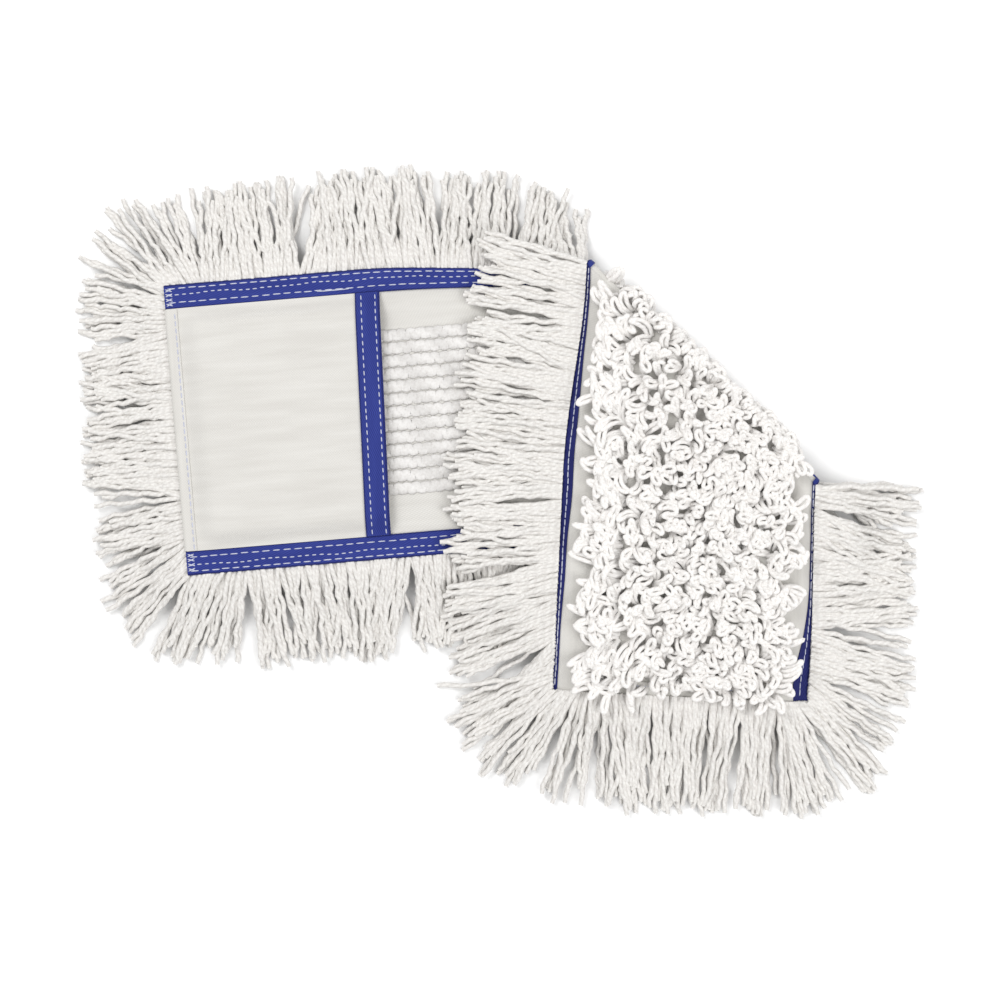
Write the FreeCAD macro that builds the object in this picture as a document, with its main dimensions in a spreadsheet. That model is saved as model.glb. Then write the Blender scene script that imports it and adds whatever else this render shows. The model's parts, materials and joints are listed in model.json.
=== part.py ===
import FreeCAD, Part
import os
import re
import Sketcher

# A flat pocket mop refill, lying with its right half turned over along a diagonal fold.
# Every part is drawn on the cloth laid out straight: x runs along the cloth from its flat end,
# y across it and z up, with the back uppermost. The turned half is then swung over by half a
# turn about the fold, so both halves share one set of sizes.

doc = FreeCAD.newDocument("pocket_mop")
sheet = doc.addObject("Spreadsheet::Sheet", "Sizes")
SIZES = {
    "cloth_length": 425,        # canvas, end hem to end hem
    "cloth_width": 146,         # over the two binding tapes
    "fold_start": 205,          # where the fold meets the long edge at +y
    "fold_angle": 48.8,         # between the fold and the long edges
    "fold_space": 3.6,          # between the backs of the two halves
    "fold_play": 0.2,           # each half stops this far short of the fold
    "pile_height": 11.5,        # loops, from canvas to tip
    "row_count": 13,
    "row_pitch": 6.4,
    "row_gap": 0.4,
    "row_inset": 8,             # bare canvas between a row and an end hem
    "canvas_thickness": 0.9,
    "tape_width": 12,
    "tape_face_width": 6,       # the leg of the binding on the pile side
    "tape_thickness": 0.7,
    "seam_play": 0.05,
    "stitch_height": 0.3,
    "stitch_width": 0.9,
    "pocket_depth": 105,
    "pocket_rise": 5,           # how far the open pocket stands off the canvas
    "pocket_press": 0.3,        # the same for the pocket that is pressed shut
    "panel_thickness": 0.8,
    "mouth_tape_width": 12.5,
    "seam_width": 3,
    "hem_width": 6,
    # The end of the turned half that hangs past the half below.
    "drape_clearance": 0.7,
    "drape_drop": 8.64,
    "drape_length": "=cloth_length - fold_start - cloth_width / sin(2deg * fold_angle) "
                    "- drape_clearance",
    "drape_slope": "=drape_drop / drape_length",
    "fringe_length": 49,
    "fringe_thickness": 4.6,
    "fringe_fan": 26,           # spread of the fringe past a corner
    "turned_fringe_length": 56,
    "side_fringe_length": 44,
    "fold_pile_reach": 10,
    "centre_along": 0,
    "centre_across": 0,
}
for line, (alias, value) in enumerate(SIZES.items(), 1):
    sheet.set(f"A{line}", alias)
    sheet.set(f"B{line}", str(value))
    sheet.setAlias(f"B{line}", alias)
doc.recompute()


def cell(text):
    # Put the sheet's name before every size that an expression names.
    return re.sub(rf"\b({'|'.join(SIZES)})\b", r"Sizes.\1", text)


def bind(thing, **values):
    for name, text in values.items():
        thing.setExpression(name.replace("_", "."), cell(str(text)))


HALF = "cloth_width / 2"
TOP = "(pile_height + 0.2 + canvas_thickness)"              # back of the canvas
FACE = "(pile_height + 0.2)"                                # pile side of the canvas
HINGE = f"({TOP} + fold_space / 2)"                         # height of the fold's axis
COS, SIN = "cos(fold_angle * 1deg)", "sin(fold_angle * 1deg)"
FOLD_END = "(fold_start + cloth_width / tan(fold_angle * 1deg))"
TAPE_BACK = f"({TOP} + seam_play + tape_thickness)"
DRAPE = "(cloth_length - drape_length)"
nodes = []


def place(thing, turned):
    # The turned half is swung by half a turn about the fold, then all is moved to the middle.
    if turned:
        along = f"(fold_start * {COS} - {HALF} * {SIN})"
        bind(thing, Placement_Rotation_Axis_x=COS, Placement_Rotation_Axis_y=f"-{SIN}",
             Placement_Rotation_Axis_z=0, Placement_Rotation_Angle=180)
        bind(thing, Placement_Base_x=f"2 * fold_start - 2 * {along} * {COS} - centre_along",
             Placement_Base_y=f"cloth_width + 2 * {along} * {SIN} - centre_across",
             Placement_Base_z=f"2 * {HINGE}")
    else:
        bind(thing, Placement_Base_x="-centre_along", Placement_Base_y="-centre_across",
             Placement_Base_z=0)


def outline(owner, name, points, plane="XY_Plane"):
    # A closed outline whose corners are each held by two sizes from the sheet.
    if owner is doc:
        sketch = doc.addObject("Sketcher::SketchObject", name)
    else:
        sketch = owner.newObject("Sketcher::SketchObject", name)
        side = [part for part in owner.Origin.OriginFeatures if part.Role == plane][0]
        sketch.AttachmentSupport = (side, [""])
        sketch.MapMode = "FlatFace"
    at = [FreeCAD.Vector(*(float(sketch.evalExpression(cell(c))) for c in point), 0)
          for point in points]
    for i, corner in enumerate(at):
        sketch.addGeometry(Part.LineSegment(corner, at[(i + 1) % len(at)]), False)
    for i in range(len(at)):
        sketch.addConstraint(Sketcher.Constraint("Coincident", i, 2, (i + 1) % len(at), 1))
    for i, point in enumerate(points):
        for kind, text, value in zip(("DistanceX", "DistanceY"), point, at[i]):
            held = sketch.addConstraint(Sketcher.Constraint(kind, -1, 1, i, 1, value))
            sketch.setExpression(f"Constraints[{held}]", cell(text))
    return sketch


def keep(node, shape, turned, past=None, stretch=None):
    # Trim a part to its stretch of the cloth and at the fold, and give it its place and name.
    if stretch:
        start, end = stretch
        slab = doc.addObject("Part::Box", f"{node}_stretch")
        bind(slab, Length=f"{end} - ({start})", Width="2 * cloth_width", Height=200,
             Placement_Base_x=start, Placement_Base_y="-cloth_width", Placement_Base_z=-100)
        part = doc.addObject("Part::Common", f"{node}_part")
        part.Base, part.Tool = shape, slab
        shape = part
    if past:
        trimmed = doc.addObject("Part::Cut", node)
        trimmed.Base, trimmed.Tool = shape, past
        shape = trimmed
    place(shape, turned)
    shape.Label = node
    nodes.append(shape)


def strip(node, section, runs, turned, past=None, stretch=None):
    # A long part of one section, drawn across the cloth and run along it. Each run starts
    # where the last one ends, and may climb.
    body = doc.addObject("PartDesign::Body", f"{node}_body")
    for i, (start, end, climb) in enumerate(runs):
        sketch = outline(body, f"{node}_section_{i}", section, "YZ_Plane")
        bind(sketch, AttachmentOffset_Base_z=start)
        run = body.newObject("PartDesign::Pad", f"{node}_run_{i}")
        run.Profile = sketch
        bind(run, Length=f"{end} - ({start})")
        if climb:
            run.UseCustomVector = True
            run.AlongSketchNormal = True
            run.Direction = FreeCAD.Vector(1, 0, float(sketch.evalExpression(cell(climb))))
            run.setExpression("Direction.x", "1")
            run.setExpression("Direction.y", "0")
            run.setExpression("Direction.z", cell(climb))
        doc.recompute()
    keep(node, body, turned, past, stretch)


def box_section(low_y, high_y, low_z, high_z):
    return [(low_y, low_z), (high_y, low_z), (high_y, high_z), (low_y, high_z)]


def binding(side):
    # A tape wrapped round the canvas edge, wide on the back and narrow on the pile side.
    def at(inset):
        return f"{side} * ({HALF} - {inset})"
    low, high = f"{FACE} - seam_play", f"{TOP} + seam_play"
    return [(at("0"), f"{low} - tape_thickness"), (at("0"), f"{high} + tape_thickness"),
            (at("tape_width"), f"{high} + tape_thickness"), (at("tape_width"), high),
            (at("tape_thickness"), high), (at("tape_thickness"), low),
            (at("tape_face_width"), low), (at("tape_face_width"), f"{low} - tape_thickness")]


# The two cutters take away whatever lies past the fold from each half.
def cutter(name, far, play):
    reach = 3 * SIZES["cloth_width"]
    line = [(f"fold_start - {reach} / tan(fold_angle * 1deg) + {play}", f"{HALF} + {reach}"),
            (f"{FOLD_END} + {reach} / tan(fold_angle * 1deg) + {play}", f"-{HALF} - {reach}")]
    sketch = outline(doc, f"{name}_outline",
                     line + [(far, f"-{HALF} - {reach}"), (far, f"{HALF} + {reach}")])
    block = doc.addObject("Part::Extrusion", name)
    block.Base = sketch
    block.DirMode = "Custom"
    block.Dir = FreeCAD.Vector(0, 0, 1)
    block.Solid = True
    block.LengthFwd = 100
    block.LengthRev = 50
    return block


past_fold = cutter("past_fold", "3 * cloth_length", f"-fold_play / {SIN}")
before_fold = cutter("before_fold", "-2 * cloth_length", f"fold_play / {SIN}")
doc.recompute()

WIDE = f"({HALF} - tape_thickness - 0.1)"
BETWEEN = f"({HALF} - tape_width - 0.3)"
for half, turned, trim in (("flat", False, past_fold), ("turned", True, before_fold)):
    whole = [("fold_start - 5", DRAPE, 0), (DRAPE, "cloth_length", "drape_slope")] if turned \
        else [("0", FOLD_END, 0)]
    strip(f"canvas_{half}", box_section(f"-{WIDE}", WIDE, FACE, TOP), whole, turned, trim)
    for edge, side in (("upper", "1"), ("lower", "-1")):
        strip(f"binding_{edge}_{half}", binding(side), whole, turned, trim)
        middle = f"{side} * ({HALF} - tape_width / 2)"
        strip(f"binding_stitches_{edge}_{half}", box_section(
            f"{middle} - tape_width / 3", f"{middle} + tape_width / 3", TAPE_BACK,
            f"{TAPE_BACK} + stitch_height"), whole, turned, trim)

    # Rows of loops, on the side away from the back.
    rows = [whole[0], (DRAPE, "cloth_length - row_inset", "drape_slope")] if turned \
        else [("row_inset", FOLD_END, 0)]
    for row in range(SIZES["row_count"]):
        middle = f"({row} - (row_count - 1) / 2) * row_pitch"
        reach = "(row_pitch - row_gap) / 2"
        strip(f"loop_row_{row + 1:02d}_{half}", box_section(
            f"{middle} - {reach}", f"{middle} + {reach}", "0", "pile_height"), rows, turned, trim)

    # Pocket at the end of each half. The flat half's stands open, the other is pressed shut.
    rise = "pocket_press" if turned else "pocket_rise"
    low = f"{TOP} + {rise}"
    high = f"{low} + panel_thickness"
    mouth = "(cloth_length - pocket_depth)"
    if turned:
        # The pressed pocket hangs with the canvas, wherever its mouth falls.
        panel = (mouth, "cloth_length - 0.5")
        band = (f"{mouth} - 0.5", f"{mouth} + mouth_tape_width")
        seam = (f"{mouth} + mouth_tape_width / 2 - stitch_width",
                f"{mouth} + mouth_tape_width / 2 + stitch_width")
        hem = ("cloth_length - hem_width", "cloth_length", "drape_slope")
        lift = "(drape_length - hem_width) * drape_slope"
    else:
        panel = ("0", "pocket_depth")
        band = ("pocket_depth - mouth_tape_width", "pocket_depth + 0.5")
        seam = ("pocket_depth - mouth_tape_width / 2 - stitch_width",
                "pocket_depth - mouth_tape_width / 2 + stitch_width")
        hem = ("0", "hem_width", 0)
        lift = "0"
    # The pressed pocket also reaches the fold at one side, and is trimmed there like the canvas.
    def pocket_strip(node, section, stretch):
        if turned:
            strip(node, section, whole, True, trim, stretch)
        else:
            strip(node, section, [(*stretch, 0)], False)

    pocket_strip(f"pocket_panel_{half}", box_section(f"-{BETWEEN}", BETWEEN, low, high), panel)
    pocket_strip(f"mouth_tape_{half}", box_section(
        f"-{BETWEEN}", BETWEEN, f"{high} + seam_play", f"{high} + seam_play + tape_thickness"),
        band)
    pocket_strip(f"mouth_stitches_{half}", box_section(
        f"-{BETWEEN}", BETWEEN, f"{high} + seam_play + tape_thickness",
        f"{high} + seam_play + tape_thickness + stitch_height"), seam)
    strip(f"end_hem_{half}", box_section(
        f"-{WIDE} + tape_face_width", f"{WIDE} - tape_face_width",
        f"{FACE} - seam_play - panel_thickness + {lift}", f"{FACE} - seam_play + {lift}"),
        [hem], turned)

for edge, side in (("upper", "1"), ("lower", "-1")):
    ends = [f"{side} * {BETWEEN}", f"{side} * ({BETWEEN} - seam_width)"]
    strip(f"pocket_seam_{edge}", box_section(*ends, f"{TOP} + seam_play",
          f"{TOP} + pocket_rise - seam_play"), [("0.5", "pocket_depth - 1", 0)], False)
strip("pocket_seam_end", box_section(
    f"-{BETWEEN} + seam_width + 0.2", f"{BETWEEN} - seam_width - 0.2", f"{TOP} + seam_play",
    f"{TOP} + pocket_rise - seam_play"), [("0.5", "seam_width + 0.5", 0)], False)


# Each side's fringe is a wedge, thick and level at its roots and spread and low at its tips.
def fringe(node, turn, edge, length, root, tip, root_z, tip_z, turned):
    wedge = doc.addObject("Part::Wedge", f"{node}_wedge")
    bind(wedge, Xmin=root[0], Xmax=root[1], X2min=tip[0], X2max=tip[1], Ymin=f"{edge} + 0.3",
         Ymax=f"{edge} + {length}", Zmin=root_z, Zmax=f"{root_z} + fringe_thickness",
         Z2min=tip_z, Z2max=f"{tip_z} + fringe_thickness")
    wedge.setExpression("Placement.Rotation.Angle", str(turn))
    doc.recompute()
    keep(node, wedge, turned, before_fold if turned else None)


ROOT = f"({TAPE_BACK} - fringe_thickness)"
FAN = "fringe_fan"
fringe("fringe_end_flat", 90, "0", "fringe_length", (f"-{HALF}", HALF),
       (f"-{HALF} - {FAN}", f"{HALF} + {FAN}"), ROOT, "0.2", False)
fringe("fringe_upper_flat", 0, HALF, "fringe_length", ("0", "fold_start"),
       (f"-{FAN}", "fold_start"), ROOT, "0.2", False)
fringe("fringe_lower_flat", 180, HALF, "fringe_length", (f"-{FOLD_END}", "0"),
       (f"-{FOLD_END}", FAN), ROOT, "0.2", False)
LIFT = "drape_length * drape_slope"
HANG = f"(2 * {HINGE} - fringe_thickness - 0.2)"            # tips that reach the floor
fringe("fringe_end_turned", -90, "cloth_length", "turned_fringe_length", (f"-{HALF}", HALF),
       (f"-{HALF} - {FAN}", f"{HALF} + {FAN}"), f"{ROOT} + {LIFT}", HANG, True)
fringe("fringe_upper_turned", 0, HALF, "turned_fringe_length", ("fold_start + 1", "cloth_length"),
       ("fold_start + 1", f"cloth_length + {FAN}"), ROOT, f"2 * {HINGE} - 19", True)
fringe("fringe_lower_turned", 180, HALF, "side_fringe_length",
       ("-cloth_length", f"-{FOLD_END} - 1"), (f"-cloth_length - {FAN}", f"-{FOLD_END} - 1"),
       ROOT, HANG, True)

# Strands that spread past the outer corner of the fold, lying under the turned half's fringe.
spread = doc.addObject("Part::Wedge", "fringe_fold_corner_wedge")
bind(spread, Xmin=-1.5, Xmax=1.5, X2min=-16, X2max=16, Ymin=2, Ymax="side_fringe_length",
     Zmin=3.5, Zmax=7.5, Z2min=0.2, Z2max=4.2, Placement_Base_x=FOLD_END,
     Placement_Base_y=f"-{HALF}", Placement_Rotation_Angle="-(180 - fold_angle - 13)")
keep("fringe_fold_corner", spread, False, before_fold)


# The canvas and its loops bend round the fold on half rings.
def half_ring(node, inner, outer, length, skip):
    rings = []
    for name, radius in (("outer", outer), ("inner", inner)):
        ring = doc.addObject("Part::Cylinder", f"{node}_{name}")
        bind(ring, Radius=radius, Height=length, Angle=180)
        ring.Placement.Rotation = FreeCAD.Rotation(FreeCAD.Vector(0, 1, 0), 90)
        rings.append(ring)
    shell = doc.addObject("Part::Cut", node)
    shell.Base, shell.Tool = rings
    bind(shell, Placement_Base_x=f"fold_start + {skip} * {COS} - centre_along",
         Placement_Base_y=f"{HALF} - {skip} * {SIN} - centre_across",
         Placement_Base_z=HINGE, Placement_Rotation_Angle="-fold_angle")
    shell.Label = node
    nodes.append(shell)


FOLD_LENGTH = f"cloth_width / {SIN}"
half_ring("canvas_fold", "fold_space / 2", "fold_space / 2 + canvas_thickness", FOLD_LENGTH, "0")
half_ring("fold_pile", "fold_space / 2 + canvas_thickness + 0.3", "fold_pile_reach",
          f"row_count * row_pitch / {SIN}", f"(cloth_width - row_count * row_pitch) / 2 / {SIN}")
doc.recompute()

# Move everything so the middle of the whole mop stands at the origin.
span = FreeCAD.BoundBox()
for node in nodes:
    span.add(node.Shape.BoundBox)
for alias, value in (("centre_along", span.Center.x), ("centre_across", span.Center.y)):
    sheet.set(sheet.getCellFromAlias(alias), f"{value:.4f}")
doc.recompute()

for thing in doc.Objects:
    if any(word in thing.State for word in ("Invalid", "Error")):
        raise RuntimeError(f"{thing.Label} did not build: {thing.State}")
os.makedirs("parts", exist_ok=True)
for node in nodes:
    if node.Shape.isNull() or not node.Shape.isValid() or len(node.Shape.Solids) != 1:
        raise RuntimeError(f"{node.Label} is not one good solid")
    node.Shape.exportStep(f"parts/{node.Label}.step")
    size = node.Shape.BoundBox
    print(f"{node.Label}: {size.XMin:.1f} {size.YMin:.1f} {size.ZMin:.1f} to "
          f"{size.XMax:.1f} {size.YMax:.1f} {size.ZMax:.1f}")
print(len(nodes), "parts, moved by", -span.Center.x, -span.Center.y)
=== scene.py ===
# %% [markdown]
# # A flat pocket mop refill, folded over
#
# A cotton cloth with loops on its working face, a fringe all round and two pockets on its back.
# The left half lies with its back up. The right half is turned over along a diagonal fold, so
# that its loops show. Each cell below makes one kind of part, and says how the real one is made.

# %% Load the frame
import json
import math
import random
import bmesh
import bpy
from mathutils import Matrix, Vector, noise


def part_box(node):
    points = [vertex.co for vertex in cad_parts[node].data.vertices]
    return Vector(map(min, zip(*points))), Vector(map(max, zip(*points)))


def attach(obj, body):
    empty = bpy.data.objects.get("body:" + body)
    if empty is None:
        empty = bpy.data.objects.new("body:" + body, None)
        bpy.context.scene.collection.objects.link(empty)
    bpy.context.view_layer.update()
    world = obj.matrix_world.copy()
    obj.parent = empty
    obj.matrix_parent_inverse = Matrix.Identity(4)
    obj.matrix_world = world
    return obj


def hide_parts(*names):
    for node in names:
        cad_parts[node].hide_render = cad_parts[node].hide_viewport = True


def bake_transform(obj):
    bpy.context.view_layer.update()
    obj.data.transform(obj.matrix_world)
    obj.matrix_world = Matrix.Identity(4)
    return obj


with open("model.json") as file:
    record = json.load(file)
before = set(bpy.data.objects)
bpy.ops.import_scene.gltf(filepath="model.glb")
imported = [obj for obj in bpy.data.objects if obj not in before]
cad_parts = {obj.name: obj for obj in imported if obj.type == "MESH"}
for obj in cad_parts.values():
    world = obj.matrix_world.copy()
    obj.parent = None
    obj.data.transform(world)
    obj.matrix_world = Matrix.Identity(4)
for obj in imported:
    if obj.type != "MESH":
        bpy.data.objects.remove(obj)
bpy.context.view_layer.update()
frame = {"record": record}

MM = 0.001
fold = next(j for j in frame["record"]["behaviour"]["joints"] if j["name"] == "diagonal_fold")
pivot = Vector(fold["pos_m"])
along_fold = -Vector(fold["axis"])
out_of_fold = Vector((0, 0, 1)).cross(along_fold)
canvas_low, canvas_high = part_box("canvas_flat")
flat_end = canvas_low.x
middle = (canvas_low.y + canvas_high.y) / 2
face_z, back_z = canvas_low.z, canvas_high.z
half_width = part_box("binding_upper_flat")[1].y - middle
slant = along_fold.x / -along_fold.y                  # how far the fold runs along per unit across
fold_start = pivot.x - flat_end
length = 425 * MM
drape_start, drape_slope = 353 * MM, 0.12
tape_width = 12 * MM
pocket_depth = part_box("pocket_panel_flat")[1].x - flat_end
row_pitch, row_count = 6.4 * MM, 13
HALVES = ((False, "flat", "flat_half"), (True, "turned", "turned_half"))
EDGES = ((1, "upper"), (-1, "lower"))                 # side of the cloth's middle, and its name
yarn = 1.2 * MM                                       # radius of the mop yarn
print("half width", half_width, "fold starts", fold_start, "canvas", face_z, back_z)

# %% [markdown]
# ## Laying the cloth out and folding it
#
# Everything is drawn on the cloth laid out straight: s runs along it, v across it and z up, with
# the back uppermost. The turned half is then swung over the fold by half a turn, and its end
# hangs down past the half below. A cloth is never folded to a ruler, so near the fold's two
# corners it is drawn in along the fold, which keeps both halves meeting there.


# %% From laid-out cloth to folded cloth
UPPER_SHIFT, LOWER_SHIFT = 9 * MM, 25 * MM            # how far the fold's corners are drawn in
SIDE_SAG = 10 * MM                                    # how far the turned half's free side hangs
SAG_LIMIT = 20 * MM                                   # depth that the hanging parts level off at
RUFFLE, ROLL = 0.5 * MM, 2.6 * MM                     # height of the waves and of the long edges


def smooth(value, low, high):
    share = min(max((value - low) / (high - low), 0), 1)
    return share * share * (3 - 2 * share)


def fold_at(v):
    """Where the fold crosses the cloth at v."""
    return fold_start + (half_width - v) * slant


def draw_in(s, v, turned):
    """The cloth shifts along the fold near its corners, less so further from the fold."""
    shift = UPPER_SHIFT * smooth(v, 45 * MM, 75 * MM) - LOWER_SHIFT * smooth(-v, 30 * MM, 75 * MM)
    away = abs(s - fold_at(v))
    near = 1 - smooth(away, 0, 70 * MM)
    if turned and v < 0:
        across = 0.85 + 0.15 * near
    else:
        across = 1 - smooth(away, 10 * MM, 110 * MM)
    return s + shift * along_fold.x * near, v + shift * along_fold.y * across


def sag(s, v):
    """How far the turned half's free side hangs below its middle."""
    return SIDE_SAG * smooth(-v, 38 * MM, 76 * MM) * smooth(s - fold_at(v), 15 * MM, 90 * MM)


def lay(s, v, z, turned=False):
    """Where a point of the laid-out cloth lies in the folded mop."""
    ruffle = RUFFLE * noise.noise(Vector((s * 22, v * 22, 5 if turned else 0)))
    z += ruffle * smooth(abs(s - fold_at(v)), 0, 30 * MM)
    if turned:
        drop = max(0, s - drape_start) * drape_slope + sag(s, v)
        roll = ROLL * smooth(abs(v), 62 * MM, 73 * MM)
        z += drop / (1 + drop / SAG_LIMIT) + roll * smooth(s - fold_at(v), 0, 20 * MM)
    s, v = draw_in(s, v, turned)
    spot = Vector((flat_end + s, middle + v, z))
    if turned:
        arm = spot - pivot
        spot = pivot + 2 * arm.dot(along_fold) * along_fold - arm
    return spot


print("fold corners", lay(fold_at(half_width), half_width, 0.0144),
      lay(fold_at(-half_width), -half_width, 0.0144))

# %% [markdown]
# ## Materials
#
# The yarn is loosely twisted cotton, so its twist shows as slanting ridges along every strand,
# with painted shade in the grooves and fine fuzz. The canvas is a plain weave, with painted
# shade where its threads go under. The tape is a tighter weave in blue, with painted shade at its
# edges and round its turn over the cloth, and the thread is a pale twisted filament. The twist,
# the weave and the shaded edges are groups that give only masks, and each material mixes its
# colours from them.


# %% Nodes and groups
def group(name, inputs, outputs):
    tree = bpy.data.node_groups.new(name, "ShaderNodeTree")
    for label, kind, value in inputs:
        socket = tree.interface.new_socket(name=label, in_out="INPUT", socket_type=kind)
        socket.default_value = value
    for label, kind in outputs:
        tree.interface.new_socket(name=label, in_out="OUTPUT", socket_type=kind)
    return tree, tree.nodes.new("NodeGroupInput"), tree.nodes.new("NodeGroupOutput")


def maths(tree, kind, a, b=None):
    node = tree.nodes.new("ShaderNodeMath")
    node.operation = kind
    for socket, value in zip(node.inputs, (a, b)):
        if isinstance(value, bpy.types.NodeSocket):
            tree.links.new(value, socket)
        elif value is not None:
            socket.default_value = value
    return node.outputs[0]


print("groups so far", len(bpy.data.node_groups))


# %% The twist of the yarn
def twist_group():
    """Slanting plies along a strand, from its own UV: u along it and v round it."""
    tree, given, made = group("yarn_twist", [("Turns", "NodeSocketFloat", 22), ("Plies",
                              "NodeSocketFloat", 3)], [("Ply", "NodeSocketFloat"),
                              ("Fuzz", "NodeSocketFloat")])
    uv = tree.nodes.new("ShaderNodeUVMap")
    uv.uv_map = "strand"
    split = tree.nodes.new("ShaderNodeSeparateXYZ")
    tree.links.new(uv.outputs["UV"], split.inputs[0])
    run = maths(tree, "MULTIPLY", split.outputs["X"], given.outputs["Turns"])
    turn = maths(tree, "MULTIPLY", split.outputs["Y"], given.outputs["Plies"])
    # the grooves between the plies get the darker colour of a material: painted shade
    phase = maths(tree, "MULTIPLY", maths(tree, "ADD", run, turn), 2 * math.pi)
    wave = maths(tree, "MULTIPLY_ADD", maths(tree, "SINE", phase), 0.5)
    wave.node.inputs[2].default_value = 0.5
    tree.links.new(wave, made.inputs["Ply"])
    place = tree.nodes.new("ShaderNodeTexCoord")
    fuzz = tree.nodes.new("ShaderNodeTexNoise")
    fuzz.inputs["Scale"].default_value = 900
    fuzz.inputs["Detail"].default_value = 3
    tree.links.new(place.outputs["Object"], fuzz.inputs["Vector"])
    tree.links.new(fuzz.outputs["Fac"], made.inputs["Fuzz"])
    return tree


twist = twist_group()
print("group", twist.name)


# %% The weave of the cloth
def weave_group():
    """Over and under threads of a plain weave, from the cloth's own UV in metres."""
    tree, given, made = group("plain_weave", [("Threads per metre", "NodeSocketFloat", 1400),
                              ("Across", "NodeSocketFloat", 1)],
                              [("Weave", "NodeSocketFloat"), ("Cloud", "NodeSocketFloat")])
    uv = tree.nodes.new("ShaderNodeUVMap")
    uv.uv_map = "cloth"
    split = tree.nodes.new("ShaderNodeSeparateXYZ")
    tree.links.new(uv.outputs["UV"], split.inputs[0])
    step = maths(tree, "MULTIPLY", given.outputs["Threads per metre"], math.pi)
    warp = maths(tree, "SINE", maths(tree, "MULTIPLY", split.outputs["X"], step))
    cross = maths(tree, "MULTIPLY", step, given.outputs["Across"])
    weft = maths(tree, "SINE", maths(tree, "MULTIPLY", split.outputs["Y"], cross))
    # threads that go under get the darker colour of a material: painted shade
    over = maths(tree, "MULTIPLY_ADD", maths(tree, "MULTIPLY", warp, weft), 0.5)
    over.node.inputs[2].default_value = 0.5
    tree.links.new(over, made.inputs["Weave"])
    stretch = tree.nodes.new("ShaderNodeVectorMath")
    stretch.operation = "MULTIPLY"
    stretch.inputs[1].default_value = (22, 190, 1)
    tree.links.new(uv.outputs["UV"], stretch.inputs[0])
    cloud = tree.nodes.new("ShaderNodeTexNoise")
    cloud.inputs["Scale"].default_value = 1
    cloud.inputs["Detail"].default_value = 5
    tree.links.new(stretch.outputs[0], cloud.inputs["Vector"])
    tree.links.new(cloud.outputs["Fac"], made.inputs["Cloud"])
    return tree


weave = weave_group()
print("group", weave.name)


# %% Painted shade at the edges of the tape
def tape_edge_shade_group():
    """Painted shade at a tape's edges and round its turn, from its UV in metres: v runs across it.
    """
    tree, given, made = group("tape_edge_shade", [("Edge", "NodeSocketFloat", 0.0007),
                              ("Folded at", "NodeSocketFloat", 0.0125)],
                              [("Painted edge shade", "NodeSocketFloat")])
    uv = tree.nodes.new("ShaderNodeUVMap")
    uv.uv_map = "cloth"
    split = tree.nodes.new("ShaderNodeSeparateXYZ")
    tree.links.new(uv.outputs["UV"], split.inputs[0])
    first = maths(tree, "LESS_THAN", split.outputs["Y"], given.outputs["Edge"])
    offset = maths(tree, "SUBTRACT", split.outputs["Y"], given.outputs["Folded at"])
    fold_line = maths(tree, "LESS_THAN", maths(tree, "ABSOLUTE", offset),
                      maths(tree, "MULTIPLY", given.outputs["Edge"], 1.8))
    tree.links.new(maths(tree, "MAXIMUM", first, fold_line), made.inputs["Painted edge shade"])
    return tree


tape_edge_shade = tape_edge_shade_group()
print("group", tape_edge_shade.name)

# %% How a material uses a group
white = (1, 1, 1)


def ramp(tree, value, low, high, stops=(0.0, 1.0)):
    node = tree.nodes.new("ShaderNodeValToRGB")
    node.color_ramp.elements[0].position, node.color_ramp.elements[1].position = stops
    node.color_ramp.elements[0].color = (*low, 1)
    node.color_ramp.elements[1].color = (*high, 1)
    tree.links.new(value, node.inputs[0])
    return node.outputs[0]


def multiply(tree, a, b, share=1.0):
    node = tree.nodes.new("ShaderNodeMix")
    node.data_type, node.blend_type = "RGBA", "MULTIPLY"
    node.inputs[0].default_value = share
    tree.links.new(a, node.inputs[6])
    tree.links.new(b, node.inputs[7])
    return node.outputs[2]


def material(name, tree_group, settings, colours, shade, bump, roughness=0.9, sheen=0.15,
             edge_shade_colour=None):
    """The group's first mask mixes the two colours, its second shades them and both lift.
    The darker colour is painted shade in the grooves that the first mask marks.
    """
    made = bpy.data.materials.new(name)
    made.use_nodes = True
    tree = made.node_tree
    shader = tree.nodes["Principled BSDF"]
    shader.inputs["Roughness"].default_value = roughness
    shader.inputs["Specular IOR Level"].default_value = 0.15
    shader.inputs["Sheen Weight"].default_value = sheen
    pattern = tree.nodes.new("ShaderNodeGroup")
    pattern.node_tree = tree_group
    for label, value in settings.items():
        pattern.inputs[label].default_value = value
    first, second = pattern.outputs[0], pattern.outputs[1]
    tone = multiply(tree, ramp(tree, first, *colours), ramp(tree, second, *shade))
    # painted shade: the tape darkens towards its edges and round its turn over the cloth's edge
    if edge_shade_colour:
        edge = tree.nodes.new("ShaderNodeGroup")
        edge.node_tree = tape_edge_shade
        tone = multiply(tree, tone, ramp(tree, edge.outputs["Painted edge shade"], white, edge_shade_colour))
    tree.links.new(tone, shader.inputs["Base Color"])
    strength, distance, second_share = bump
    lift = tree.nodes.new("ShaderNodeBump")
    lift.inputs["Strength"].default_value = strength
    lift.inputs["Distance"].default_value = distance
    height = maths(tree, "ADD", first, maths(tree, "MULTIPLY", second, second_share))
    tree.links.new(height, lift.inputs["Height"])
    tree.links.new(lift.outputs["Normal"], shader.inputs["Normal"])
    return made


print("materials so far", len(bpy.data.materials))
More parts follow.
